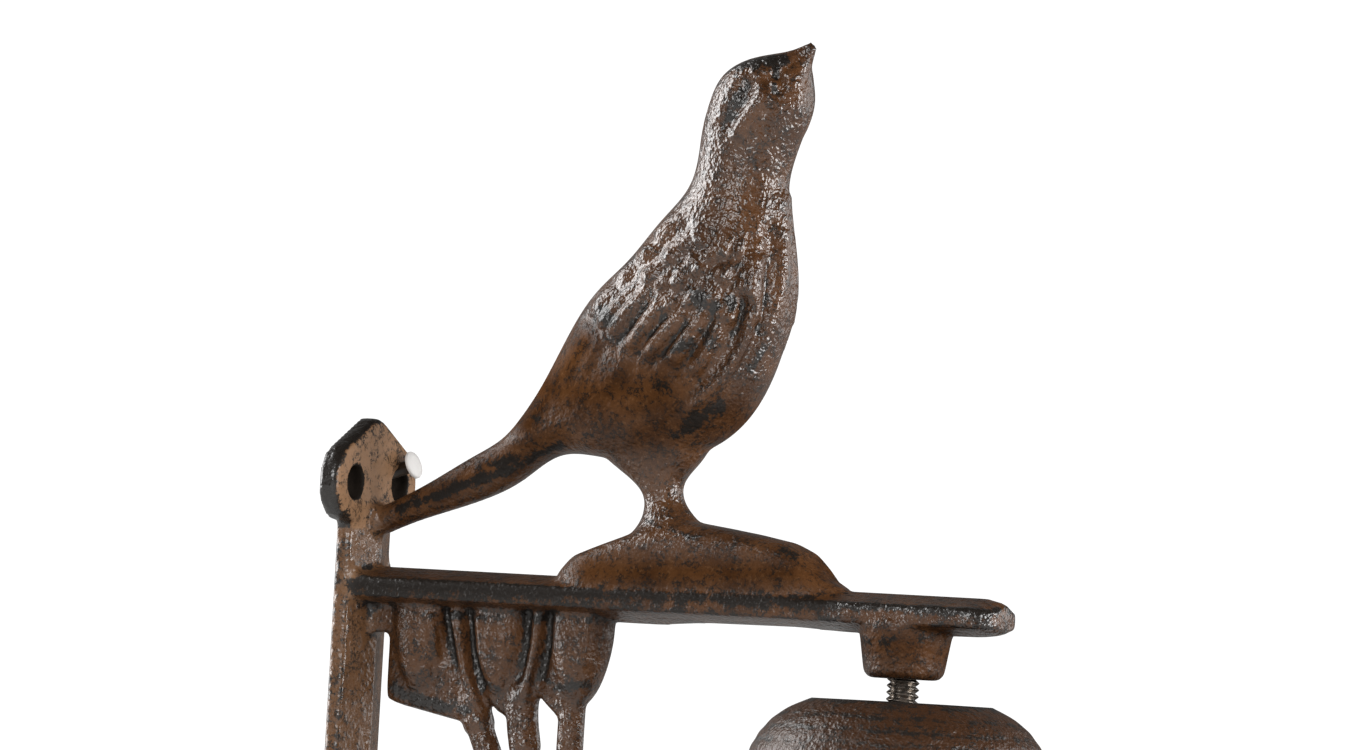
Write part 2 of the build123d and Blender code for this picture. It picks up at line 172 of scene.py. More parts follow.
# Black on the casting: soot in hollows and on worn edges, and painted shade along lower and shaded sides such
# as
# # the tail's lower half, the belly's underside, the leaves' lower edges and the arm's side. Start, end,
# width and
# # strength.
SOOT_AND_SHADE_MARKS = (
    (8.5, 15.3, 23.8, 21, 1.3, 1), (23.8, 21, 34.2, 25, 1.6, 1), (34.2, 25, 42.4, 28.8, 1.2, 0.9),
    (42.4, 28.8, 51.1, 26.2, 1.2, 0.8), (51.1, 26.2, 60, 19.5, 1, 0.6), (27.8, 24.6, 33.7, 25.7, 1.6, 0.9),
    (35.7, 34.1, 48.6, 31, 1, 0.6), (68.9, 58.1, 72.9, 56.8, 2.2, 0.9), (76.6, 58.1, 78.9, 55.2, 2, 0.9),
    (71.1, 51.4, 73.3, 49.3, 2, 1), (65.4, 47.7, 69.5, 49.5, 1.4, 0.9), (49.2, 55.2, 51.5, 52.7, 2.2, 0.9),
    (61.5, 41.5, 64.2, 39.7, 1.7, 0.7), (70, 35.1, 75.8, 37.7, 2.4, 0.9), (66.8, 31.9, 71.8, 34.5, 1.8, 0.7),
    (82.1, 45.2, 84.4, 49.1, 1.4, 0.7), (73.7, 102.2, 84.7, 103.9, 2, 1), (77.4, 97.9, 74.7, 93.9, 2.2, 0.9),
    (74.3, 93.5, 73.6, 90.9, 1.6, 0.8), (83.5, 102, 83.6, 97.4, 1, 1), (75.9, 84.6, 83.5, 82.7, 2.6, 0.4),
    (60.2, 15.7, 73.2, 12.6, 1.2, 0.6), (90.2, 12, 97.2, 8.9, 1.6, 0.7), (73.9, 14.2, 80.9, 10.7, 2, 0.5),
    (10.7, -19, 20.2, -21.5, 1.6, 1), (20.2, -21.5, 26.6, -22.3, 1.2, 0.7), (25.5, -5, 28.8, -16.1, 0.7, 0.5),
    (28.8, -16.1, 32.7, -17.8, 0.8, 0.7), (40.9, -14, 44.5, -16.8, 1, 0.8),
    (44.5, -16.8, 51.7, -15.7, 1.2, 0.9), (13.9, -9.3, 15.5, -14.6, 1.2, 0.6),
    (52.7, -12.6, 54.9, -7.2, 0.8, 0.5), (20.6, -4.5, 23.2, -15.7, 0.7, 0.4),
    (37.3, -3.6, 36.3, -15, 0.7, 0.4), (42.4, -3.3, 41.6, -14.7, 0.7, 0.4),
    (11.5, -4.2, 55.1, -3.4, 1.2, 0.5), (-0.3, 0.7, 44.2, 1.1, 1.9, 0.8), (44.2, 1.1, 103.5, 2.3, 1.9, 0.75),
    (103.5, 2.3, 139.6, 2.2, 1.9, 0.75), (108.6, -4.5, 126.8, -3.5, 1.6, 0.5),
)

# Dusty places without gloss: start, end, width and strength.
DUST_MARKS = (
    (38.6, 39.2, 62.9, 39.5, 11, 1), (59.2, 32.3, 79.1, 35.6, 5.5, 0.9), (9.4, 15.4, 42.2, 31.8, 5, 0.9),
    (50.3, 5.4, 96.9, 7.2, 5.5, 1), (1.8, 0.4, 99.3, 2, 3, 0.8), (11, -9.5, 53.2, -7.3, 8, 0.45),
    (110.8, -5.3, 125.3, -6.5, 5, 0.9), (35.4, 32.6, 46.3, 47.9, 6, 1),
)


class CastingSettings(bpy.types.PropertyGroup):
    """Sizes of the bracket casting that a user would change."""

    grain: bpy.props.FloatProperty(
        name="Mesh grain", description="Edge length of the fused casting's mesh",
        default=0.62 * MM, unit="LENGTH", precision=5)
    softness: bpy.props.IntProperty(
        name="Edge softness", description="Smoothing passes that round the cast edges", default=5, min=0)
    relief: bpy.props.FloatProperty(
        name="Plumage relief", description="Height of the feathers above the body", default=0.95 * MM,
        unit="LENGTH", precision=5)


class BellSettings(bpy.types.PropertyGroup):
    """Sizes of the bell and its hanger that a user would change."""

    around: bpy.props.IntProperty(
        name="Facets around", description="Facets round the bell", default=160, min=24)
    ripple: bpy.props.FloatProperty(
        name="Band ripple", description="Height of the faint bands round the shoulder", default=0.06 * MM,
        unit="LENGTH", precision=5)
    pitch: bpy.props.FloatProperty(
        name="Thread pitch", description="Distance between the hanger's thread crests", default=1.27 * MM,
        unit="LENGTH", precision=5)


class FinishSettings(bpy.types.PropertyGroup):
    """Colours of the finishes."""

    rust: bpy.props.FloatVectorProperty(
        name="Rust brown", description="Main colour of the lacquered iron", default=(0.078, 0.032, 0.0115),
        size=3, subtype="COLOR", min=0, max=1)
    umber: bpy.props.FloatVectorProperty(
        name="Umber", description="Darker brown of the blotches", default=(0.042, 0.017, 0.0065),
        size=3, subtype="COLOR", min=0, max=1)
    # The tan also colours the plate near the wall: partly the plate's own paler brown, partly painted light
    # of its lit front.
    tan: bpy.props.FloatVectorProperty(
        name="Tan specks", description="Paler brown of the fine specks", default=(0.14, 0.068, 0.030),
        size=3, subtype="COLOR", min=0, max=1)
    # The pale dust colour is partly painted sheen: it lightens the lit fronts of the plate's heads.
    dust_and_sheen: bpy.props.FloatVectorProperty(
        name="Pale dust", description="Dull tan on the front of the plate's heads",
        default=(0.30, 0.17, 0.092), size=3, subtype="COLOR", min=0, max=1)
    # The soot black also stands as painted shade in the screw holes and on shaded lower sides.
    soot_and_shade: bpy.props.FloatVectorProperty(
        name="Soot black", description="Black left in the hollows", default=(0.013, 0.010, 0.008),
        size=3, subtype="COLOR", min=0, max=1)
    zinc: bpy.props.FloatVectorProperty(
        name="Dull zinc", description="Plating of the hanger, nut and washer", default=(0.23, 0.205, 0.18),
        size=3, subtype="COLOR", min=0, max=1)
    nail: bpy.props.FloatVectorProperty(
        name="Nail grey", description="Pale metal of the nail head", default=(0.72, 0.70, 0.68),
        size=3, subtype="COLOR", min=0, max=1)


class StageSettings(bpy.types.PropertyGroup):
    """The camera's place and tilt."""

    azimuth: bpy.props.FloatProperty(
        name="Azimuth", description="Turn of the camera round the object", default=math.radians(27.0),
        subtype="ANGLE")
    roll: bpy.props.FloatProperty(
        name="Roll", description="Tilt of the picture", default=math.radians(3.3), subtype="ANGLE")
    distance: bpy.props.FloatProperty(
        name="Distance", description="Camera distance from the middle of the view", default=4.0,
        unit="LENGTH")
    rise: bpy.props.FloatProperty(
        name="Rise", description="Angle of the camera above the level", default=math.radians(-1.0),
        subtype="ANGLE")


class Wire:
    """One output socket of a node tree. Arithmetic on it adds Math nodes."""

    def __init__(self, tree, socket=None):
        self.tree = tree
        self.socket = socket

    def node(self, kind, settings=None, inputs=None, output=0):
        """Adds a node: settings first, then values or links by socket name or number."""
        made = self.tree.nodes.new(kind)
        for key, value in (settings or {}).items():
            setattr(made, key, value)
        for key, value in (inputs or {}).items():
            if isinstance(value, Wire):
                self.tree.links.new(value.socket, made.inputs[key])
            else:
                made.inputs[key].default_value = value
        return Wire(self.tree, made.outputs[output])

    def maths(self, operation, first, second):
        return self.node("ShaderNodeMath", {"operation": operation}, {0: first, 1: second})

    def __add__(self, other):
        return self.maths("ADD", self, other)

    __radd__ = __add__

    def __sub__(self, other):
        return self.maths("SUBTRACT", self, other)

    def __rsub__(self, other):
        return self.maths("SUBTRACT", other, self)

    def __mul__(self, other):
        return self.maths("MULTIPLY", self, other)

    __rmul__ = __mul__

    def between(self, low, high):
        """0 below low, 1 above high, and a smooth step from one to the other."""
        return self.node(
            "ShaderNodeMapRange", {"interpolation_type": "SMOOTHSTEP"},
            {"Value": self, "From Min": low, "From Max": high})

    def tint(self, first, second):
        """Colour mixed from first at 0 to second at 1."""
        return self.node(
            "ShaderNodeMix", {"data_type": "RGBA"}, {0: self, 6: first, 7: second}, output=2)


def paint(colour):
    return (*colour, 1.0)


def noise(place, scale, detail=2.0, rough=0.5):
    """Fractal noise, its scale counted in cells per millimetre."""
    return place.node(
        "ShaderNodeTexNoise", None,
        {"Vector": place, "Scale": scale, "Detail": detail, "Roughness": rough})


def new_material(name):
    """Material with a Principled shader, and its Object coordinates in millimetres."""
    material = bpy.data.materials.new(name)
    material.use_nodes = True
    shader = material.node_tree.nodes["Principled BSDF"]
    start = Wire(material.node_tree)
    place = start.node("ShaderNodeTexCoord", output="Object")
    place = start.node("ShaderNodeMapping", None, {"Vector": place, "Scale": (1000, 1000, 1000)})
    return material, shader, place


def plug(shader, **sockets):
    """Links or sets the shader's sockets; a name's underscores stand for spaces."""
    for key, value in sockets.items():
        socket = shader.inputs[key.replace("_", " ")]
        if isinstance(value, Wire):
            value.tree.links.new(value.socket, socket)
        else:
            socket.default_value = value


def cast_skin(place, grain):
    """Sand-cast surface: 2 mm lumps, then half-millimetre grains, as two bumps in a row."""
    lumps = noise(place, 0.4)
    under = place.node("ShaderNodeBump", None, {"Strength": 1.0, "Distance": 0.45 * MM, "Height": lumps})
    return place.node(
        "ShaderNodeBump", None, {"Strength": 1.0, "Distance": 0.36 * MM, "Height": grain, "Normal": under})


def iron_material(name, colours, banded=False):
    """Brown oxide over black iron under a thin lacquer: brown on the faces, tan near the wall, partly the
    plate's own paler brown and partly painted light of its lit front, black in hollows, on edges and in
    crackled patches, with painted shade in the screw holes and on lower sides. A grain, weaker near the wall,
    breaks up the gloss. Dust mixes in a dull shader and pales the plate's heads, partly as painted sheen on
    their lit fronts. Banded iron is darker, with black rings."""
    material, shader, place = new_material(name)
    blotch = noise(place, 0.10, 5.0, 0.6)
    patch = noise(place, 0.4, 5.0, 0.75)
    speck = noise(place, 1.5, 3.0, 0.65)
    hollow, edge, dust_and_sheen = (
        place.node("ShaderNodeAttribute", {"attribute_name": layer}, output="Fac")
        for layer in ("hollow", "edge", "dust_and_sheen"))
    out = place.node("ShaderNodeSeparateXYZ", None, {0: place}, output="X")
    light = colours.umber if banded else colours.rust
    brown = blotch.between(0.36, 0.66).tint(paint(light), paint(colours.umber))
    brown = (speck.between(0.5, 0.8) * (0.1 if banded else 0.55)).tint(brown, paint(colours.tan))
    # Tan near the wall: partly the plate's own paler brown, partly painted light of its lit front.
    brown = (0.75 * (1.0 - out.between(4.5, 9.0))).tint(brown, paint(colours.tan))
    # Pale fronts of the plate's heads: partly dust, partly painted sheen of their lit faces.
    brown = (dust_and_sheen * (1.0 - out.between(4.0, 4.8))).tint(brown, paint(colours.dust_and_sheen))
    # Black: soot in hollows and on worn edges, and painted shade where the hollow layer holds it, in the
    # screw holes and on lower sides.
    black = (hollow * 0.42 + edge * 0.36 + patch * 0.8 + speck * 0.4).between(0.76, 0.96)
    ripple = noise(place, 0.55, 4.0, 0.7) - 0.5
    crackle = (1.0 - (ripple * ripple).between(0.0002, 0.003)) * patch.between(0.42, 0.58)
    black = (black + 0.8 * crackle).between(0.0, 1.0)
    if banded:
        up = place.node("ShaderNodeSeparateXYZ", None, {0: place}, output="Z")
        wave = place.node("ShaderNodeMath", {"operation": "SINE"}, {0: up * 2.4 + blotch * 6.0})
        black = (black + wave.between(0.2, 1.0) * patch.between(0.35, 0.6) * 0.8).between(0.05, 0.9)
    grain = noise(place, 1.1, 1.0, 0.6) * (0.3 + 0.7 * out.between(4.0, 9.0)) * (1.0 - 0.2 * dust_and_sheen)
    colour = black.tint(brown, paint(colours.soot_and_shade))
    skin = cast_skin(place, grain)
    plug(
        shader,
        Base_Color=colour,
        Roughness=(0.36 if banded else 0.2) + 0.16 * speck + 0.2 * dust_and_sheen,
        Normal=skin,
        IOR=1.6,
        Specular_IOR_Level=0.34 if banded else 0.55,
    )
    dull = place.node(
        "ShaderNodeBsdfPrincipled", None,
        {"Base Color": colour, "Roughness": 0.6, "Normal": skin, "Specular IOR Level": 0.0})
    mixed = place.node(
        "ShaderNodeMixShader", None, {0: dust_and_sheen, 1: Wire(place.tree, shader.outputs[0]), 2: dull})
    place.tree.links.new(mixed.socket, place.tree.nodes["Material Output"].inputs["Surface"])
    return material


def nail_material(name, colour):
    """Pale head, and a shank painted near-black as a painted shadow."""
    material, shader, place = new_material(name)
    shank = place.node("ShaderNodeAttribute", {"attribute_name": "hollow"}, output="Fac")
    # The shank's near-black is painted shadow.
    plug(shader, Base_Color=shank.tint(paint(colour), (0.03, 0.018, 0.01, 1)), Roughness=0.5)
    return material


def zinc_material(name, colour):
    """Dulled plating: grey metal, browner and rougher where it is blotched."""
    material, shader, place = new_material(name)
    blotch = noise(place, 0.5, 4.0, 0.6)
    dirt = blotch.between(0.45, 0.7)
    plug(
        shader,
        Base_Color=dirt.tint(paint(colour), (0.07, 0.045, 0.03, 1)),
        Roughness=0.3 + 0.35 * dirt,
        Metallic=1.0 - 0.6 * dirt,
        Normal=place.node(
            "ShaderNodeBump", None,
            {"Strength": 0.6, "Distance": 0.05 * MM, "Height": noise(place, 3.0)}),
    )
    return material


def spline(knots, rows, at):
    """Natural cubic spline: the bends solve a three-banded system, and each span is a cubic
    in its two rows and their bends."""
    gaps = np.diff(knots)
    inner = np.arange(1, len(knots) - 1)
    system = np.eye(len(knots))
    system[inner, inner - 1] = gaps[:-1]
    system[inner, inner] = 2 * (gaps[:-1] + gaps[1:])
    system[inner, inner + 1] = gaps[1:]
    slopes = np.diff(rows, axis=0) / gaps[:, None]
    known = np.zeros_like(rows)
    known[1:-1] = 6 * np.diff(slopes, axis=0)
    bends = np.linalg.solve(system, known)
    span = np.clip(np.searchsorted(knots, at, side="right") - 1, 0, len(knots) - 2)
    gap = gaps[span][:, None]
    step = (at - knots[span])[:, None]
    low, high = rows[span], rows[span + 1]
    first, last = bends[span], bends[span + 1]
    return (low + step * ((high - low) / gap - gap * (2 * first + last) / 6)
            + step**2 * first / 2 + step**3 * (last - first) / (6 * gap))


def along_rows(rows, count, middle):
    """Rows read at even steps along a spline whose knots are the distances between the middles."""
    knots = np.concatenate([[0], np.cumsum(np.linalg.norm(np.diff(middle, axis=0), axis=1))])
    return spline(knots, rows, np.linspace(0, knots[-1], count))


def spots(x, y, z):
    """Points whose coordinates are numbers or arrays that stretch to one shape."""
    return np.stack(np.broadcast_arrays(x, y, z), -1)


def ramp(values, low, high):
    """0 up to low, 1 from high on, and a straight line between."""
    return np.clip((values - low) / (high - low), 0, 1)


def circle(around, square=2.0):
    """Cosine and sine round a turn, each raised to 2/square with its sign: 2 is round, 4 is boxy."""
    turn = np.linspace(0, 2 * math.pi, around, endpoint=False)
    wave = np.stack([np.cos(turn), np.sin(turn)])
    return np.sign(wave) * np.abs(wave) ** (2 / square)


def rings_of(middle, first, second, around, square=2.0):
    """Tube: each middle plus cosine times the first half axis and sine times the second."""
    wave = circle(around, square)
    return (middle[:, None, :] + wave[0][None, :, None] * first[:, None, :]
            + wave[1][None, :, None] * second[:, None, :])


def carried(outline, offsets):
    """Profile carried along a straight path: the outline's points repeated at each offset."""
    return np.asarray(outline, float)[None, :, :] + np.asarray(offsets, float)[:, None, :]


def round_axis(radius, height, axis, around):
    """Rings round an upright axis at X = axis: the radius at each height, or at each height and angle."""
    wave = circle(around)
    return spots(axis + radius * wave[0], radius * wave[1], height[:, None])


def turned(profile, axis, around):
    """Surface of revolution: the profile's radius at each of its heights, the same at every angle."""
    profile = np.asarray(profile, float)
    return round_axis(profile[:, :1], profile[:, 1], axis, around)


def shell(rings, loop=False):
    """Faces of a grid of rings: a quad for each four neighbours, and a fan to each end's middle,
    or, with loop, quads from the last ring back to the first."""
    count, around, _ = rings.shape
    ring, place = np.meshgrid(np.arange(count if loop else count - 1), np.arange(around), indexing="ij")
    after = (place + 1) % around
    upper = (ring + 1) % count
    quads = np.stack(
        [ring * around + place, ring * around + after, upper * around + after, upper * around + place], -1)
    points = rings.reshape(-1, 3)
    faces = quads.reshape(-1, 4).tolist()
    if not loop:
        edge = np.arange(around)
        last = (count - 1) * around
        pole = np.full(around, count * around)
        faces += np.stack([pole, (edge + 1) % around, edge], -1).tolist()
        faces += np.stack([pole + 1, last + edge, last + (edge + 1) % around], -1).tolist()
        points = np.concatenate([points, rings[:1].mean(1), rings[-1:].mean(1)])
    return points, faces


def linked(name, data):
    """New object in the scene's collection."""
    made = bpy.data.objects.new(name, data)
    bpy.context.scene.collection.objects.link(made)
    return made


def mesh_object(name, shells):
    """Object at the origin from shells in millimetres, their faces turned outwards."""
    points, faces, start = [], [], 0
    for part, sides in shells:
        points.append(part)
        faces += [[start + corner for corner in side] for side in sides]
        start += len(part)
    mesh = bpy.data.meshes.new(name)
    mesh.from_pydata((np.concatenate(points) * MM).tolist(), [], faces)
    tidy = bmesh.new()
    tidy.from_mesh(mesh)
    bmesh.ops.recalc_face_normals(tidy, faces=tidy.faces)
    tidy.to_mesh(mesh)
    tidy.free()
    mesh.shade_smooth()
    return linked(name, mesh)


def bird_shell():
    """Bird and tail: ellipses between back and breast points, carried along a spline of their middles."""
    back, breast = BIRD_ROWS[:, :2], BIRD_ROWS[:, 2:4]
    rows = along_rows(BIRD_ROWS, 150, (back + breast) / 2)
    middle = spots((rows[:, 0] + rows[:, 2]) / 2, 0, (rows[:, 1] + rows[:, 3]) / 2)
    across = spots((rows[:, 2] - rows[:, 0]) / 2, 0, (rows[:, 3] - rows[:, 1]) / 2)
    return shell(rings_of(middle, across, spots(0, rows[:, 4], 0), 72))


def upright_slab(rows, foot, half_width, square, end_round):
    """Slab along X: a boxy ellipse in each YZ section from the foot height to the row's height,
    narrowed along a quarter ellipse at both ends."""
    at = np.linspace(rows[0, 0], rows[-1, 0], 120)
    edge = np.interp(at, rows[:, 0], rows[:, 1])
    inset = np.minimum(at - at[0], at[-1] - at)
    half_width = half_width * np.sqrt(1 - np.clip(1 - (inset + 0.3) / end_round, 0, 1) ** 2)
    high = spots(0, 0, (edge - foot) / 2)
    wide = spots(0, half_width, 0)
    return shell(rings_of(spots(at, 0, (edge + foot) / 2), high, wide, 64, square))


def stem_shell(rows, radius):
    """Round stem: circles square to a spline in the plane Y = 0."""
    line = along_rows(rows, 60, rows)
    run = np.gradient(line, axis=0)
    run /= np.linalg.norm(run, axis=1)[:, None]
    flat = spots(-run[:, 1], 0, run[:, 0]) * radius
    side = np.tile([0, radius, 0], (len(line), 1))
    return shell(rings_of(spots(line[:, 0], 0, line[:, 1]), flat, side, 24))


def leaf_shell(middle, half_length):
    """Leaf: a slab under the arm whose lower edge is a pointed arch, thickest at mid height."""
    side, drop = -8.6, 11.4
    share = np.linspace(-1, 1, 17)
    rows = np.stack([middle + half_length * share, side - drop * (1 - np.abs(share) ** 2.2)], -1)
    return upright_slab(rows, foot=3, half_width=5.2, square=2.3, end_round=1.1 * half_length)


def leg_shell():
    """Leg: level ellipses along a spline of heights."""
    rows = along_rows(LEG_ROWS, 40, LEG_ROWS[:, :1])
    middle = spots(rows[:, 1], 0, rows[:, 0])
    return shell(rings_of(middle, spots(rows[:, 2], 0, 0), spots(0, rows[:, 3], 0), 40))


def head_shell(holes_z, side):
    """Plate head: the hull of three circles, found as the farthest circle in each direction,
    carried through the plate's thickness and drawn in along a quarter round at the front."""
    way = np.stack(circle(120), -1)
    lobe, tip, tip_rise = 7.6, 6.4, 6.0
    centres = np.array([(-HOLE_SIDE, holes_z), (HOLE_SIDE, holes_z), (0.0, holes_z + side * tip_rise)])
    radii = np.array([lobe, lobe, tip])
    pick = np.argmax(way @ centres.T + radii, axis=1)
    depth = np.array([0.0, 1.3, 2.6, 3.1, 3.6, 3.9, 4.0])
    inset = np.array([0.0, 0.0, 0.0, 0.1, 0.45, 0.9, 1.5])
    rim = centres[pick] + (radii[pick] - inset[:, None])[:, :, None] * way
    return shell(spots(depth[:, None], rim[:, :, 0], rim[:, :, 1]))


def strip_shell():
    """Wall strip: a five-sided section with a ridge in front, carried up the wall."""
    half, edge, ridge = 8.3, 3, 5.6
    outline = [(0, -half, 0), (edge, -half, 0), (ridge, 0, 0), (edge, half, 0), (0, half, 0)]
    return shell(carried(outline, [(0, 0, z) for z in np.linspace(LOWER_HOLES, 16, 60)]))


def arm_shell():
    """Arm: a six-sided section carried along X, its lower ridge read from a table, drawn in along a
    quarter round at the tip."""
    tip, tip_round, flat_end = 132.5, 6, 2.2
    bend = tip + tip_round * np.sin(np.linspace(0.05, 1.56, 16))
    at = np.concatenate([np.linspace(0.5, 132, 60), bend])
    round_off = np.clip((at - tip) / tip_round, 0, 1)
    half = flat_end + tip_round * np.sqrt(1 - round_off**2)
    outline = np.array([(-1, -1.4), (0, -3.1), (1, -1.4), (1, 2.2), (0, 4.5), (-1, 2.2)])
    rings = spots(at[:, None], half[:, None] * outline[:, 0], outline[:, 1])
    rings[:, 1, 2] = np.interp(at, ARM_KEEL[:, 0], ARM_KEEL[:, 1])
    rings[:, :, 2] *= 1 - 0.25 * round_off[:, None] ** 2
    return shell(rings)


def corner_shell():
    """Web above the arm: a corner with a concave quarter round, carried across the plate."""
    out, up, radius = 8.5, 7.3, 5.5
    turn = np.linspace(math.pi, 1.5 * math.pi, 12)
    bend = spots(out + radius * np.cos(turn), 0, up + radius * np.sin(turn))
    outline = np.concatenate([bend, [(out, 0, 0), (0.5, 0, 0), (0.5, 0, up)]])
    return shell(carried(outline, [(0, y, 0) for y in np.linspace(-7.6, 7.6, 12)]))


def stalk_shell():
    """Stalk: circles along a quarter bend and a straight foot into the plate."""
    start, foot, bend = (48.2, -58), (2, -92), 30
    turn = np.linspace(0, math.pi / 2, 30)
    line = np.stack([18.2 + bend * np.cos(turn), -62 - bend * np.sin(turn)], -1)
    return stem_shell(np.concatenate([[start], line, [foot]]), radius=3.5)


def stroke(along, up, start, end, width, rise=0.0):
    """Soft stroke from 0 to 1: a bell curve of the distance to the line between two points, lowered at
    its start by the rise."""
    way = end - start
    share = np.clip(((along - start[0]) * way[0] + (up - start[1]) * way[1]) / (way @ way), 0, 1)
    away = np.hypot(along - start[0] - share * way[0], up - start[1] - share * way[1])
    return np.exp(-((away / width) ** 2)) * (1 - rise * (1 - share))


def plumage(along, up):
    """Relief of a side of the bird, in shares of the relief's height: each feather is a stroke that rises
    to its tip, with a hollow below it towards the breast and one past the tip. The wing's front edge and
    the breast are lines."""
    relief = np.zeros_like(along)
    hollow = np.zeros_like(along)
    for *ends, width, height in FEATHERS:
        start, end = np.reshape(ends, (2, 2))
        behind = np.array([0.95, -0.85]) * width
        beyond = end + 1.5 * width * (end - start) / np.hypot(*(end - start))
        relief = np.maximum(relief, 1.3 * height * stroke(along, up, start, end, width, 0.75))
        hollow = np.maximum(hollow, height * stroke(along, up, start + behind, beyond + behind, 0.7 * width))
        hollow = np.maximum(hollow, height * stroke(along, up, beyond, beyond + behind, 0.6 * width))
    relief -= 0.8 * hollow * (1 - np.clip(relief, 0, 1))
    return relief + lines(along, up, BODY_LINES)


def lines(along, up, table):
    """Sum of soft lines: along each, the strongest of the strokes between its points, the last of them
    running out to nothing."""
    total = np.zeros_like(along)
    for points, width, height in table:
        places = np.array(points)
        soft = [stroke(along, up, start, end, width) for start, end in zip(places[:-2], places[1:-1])]
        soft.append(stroke(along, up, places[-1], places[-2], width, 1.0))
        total += height * np.max(soft, axis=0)
    return total


def face(along, up):
    """Relief of a side of the head: a ring-shaped hollow round a raised eye, then strokes for the brow, the
    hollow cheek, the lid, the beak's line and the throat."""
    away = np.hypot(along - 83.3, up - 98.9)
    relief = 0.7 * np.exp(-((away / 0.9) ** 2)) - 0.9 * np.exp(-(((away - 1.7) / 0.8) ** 2))
    for *ends, width, height in (
        (81.7, 97.3, 75.8, 89.8, 1.5, 1),
        (77.8, 97.9, 74.0, 90.9, 1.6, -1.3),
        (83.5, 102.3, 83.8, 100.1, 0.8, -0.8),
        (85.6, 101.7, 89.6, 105.5, 0.7, -0.5),
        (88.0, 100.7, 89.3, 91.3, 2, 0.5),
    ):
        start, end = np.reshape(ends, (2, 2))
        relief += height * stroke(along, up, start, end, width)
    return relief


def smudges(along, up, marks):
    """Marks on a side from 0 to 1: the strongest of the soft strokes at each place."""
    strongest = np.zeros_like(along)
    for *ends, width, strength in marks:
        start, end = np.reshape(ends, (2, 2))
        strongest = np.maximum(strongest, strength * stroke(along, up, start, end, width))
    return strongest


def neighbour_mean(values, edges, count):
    """Mean of each vertex's neighbours: the sum over the edges in both directions, by their number."""
    ends, others = np.concatenate([edges, edges[:, ::-1]]).T
    total = [np.bincount(ends, column[others], count) for column in values.T]
    return np.stack(total, -1) / np.bincount(ends, minlength=count)[:, None]


def read_mesh(mesh):
    """Points, normals and edges of a mesh as arrays."""
    count = len(mesh.vertices)
    points = np.empty(count * 3, np.float32)
    normals = np.empty(count * 3, np.float32)
    edges = np.empty(len(mesh.edges) * 2, np.int32)
    mesh.vertices.foreach_get("co", points)
    mesh.vertex_normals.foreach_get("vector", normals)
    mesh.edges.foreach_get("vertices", edges)
    return points.reshape(-1, 3).astype(float), normals.reshape(-1, 3).astype(float), edges.reshape(-1, 2)


def add_layer(mesh, name, values):
    """Stores one number for each vertex under a name that materials read."""
    layer = mesh.attributes.new(name, "FLOAT", "POINT")
    layer.data.foreach_set("value", values.astype(np.float32))


def mark_wear(mesh, passes, marks=0.0, bare=1.0):
    """Float attributes from the mesh's bend: how far each vertex lies under (hollow) or over (edge) the
    mean of its neighbours, spread by repeated averaging and scaled to 0..1. Painted marks, soot and painted
    shade, are added to the hollows, and bare is the share of each edge that shows."""
    points, normals, edges = read_mesh(mesh)
    count = len(points)
    spread = points.copy()
    for _ in range(passes):
        spread = neighbour_mean(spread, edges, count)
    bend = ((spread - points) * normals).sum(1)[:, None]
    for _ in range(2):
        bend = neighbour_mean(bend, edges, count)
    full = 0.35 * MM
    bend = bend[:, 0] / full
    add_layer(mesh, "hollow", np.maximum(np.clip(bend, 0, 1), marks))
    add_layer(mesh, "edge", np.clip(-bend, 0, 1) * bare)


def finished(name, source):
    """Mesh of an object with its modifiers applied, as a new object; the source is removed."""
    mesh = bpy.data.meshes.new_from_object(source.evaluated_get(bpy.context.evaluated_depsgraph_get()))
    mesh.name = name
    old = source.data
    bpy.data.objects.remove(source)
    bpy.data.meshes.remove(old)
    return linked(name, mesh)


def place_piece(piece, body, slot, material, *nodes):
    """Gives a finished piece its material and body, and hides the CAD nodes it stands for. The slot is not
    used.
    """
    piece.data.materials.clear()
    piece.data.materials.append(material)
    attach(piece, body)
    if nodes:
        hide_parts(*nodes)


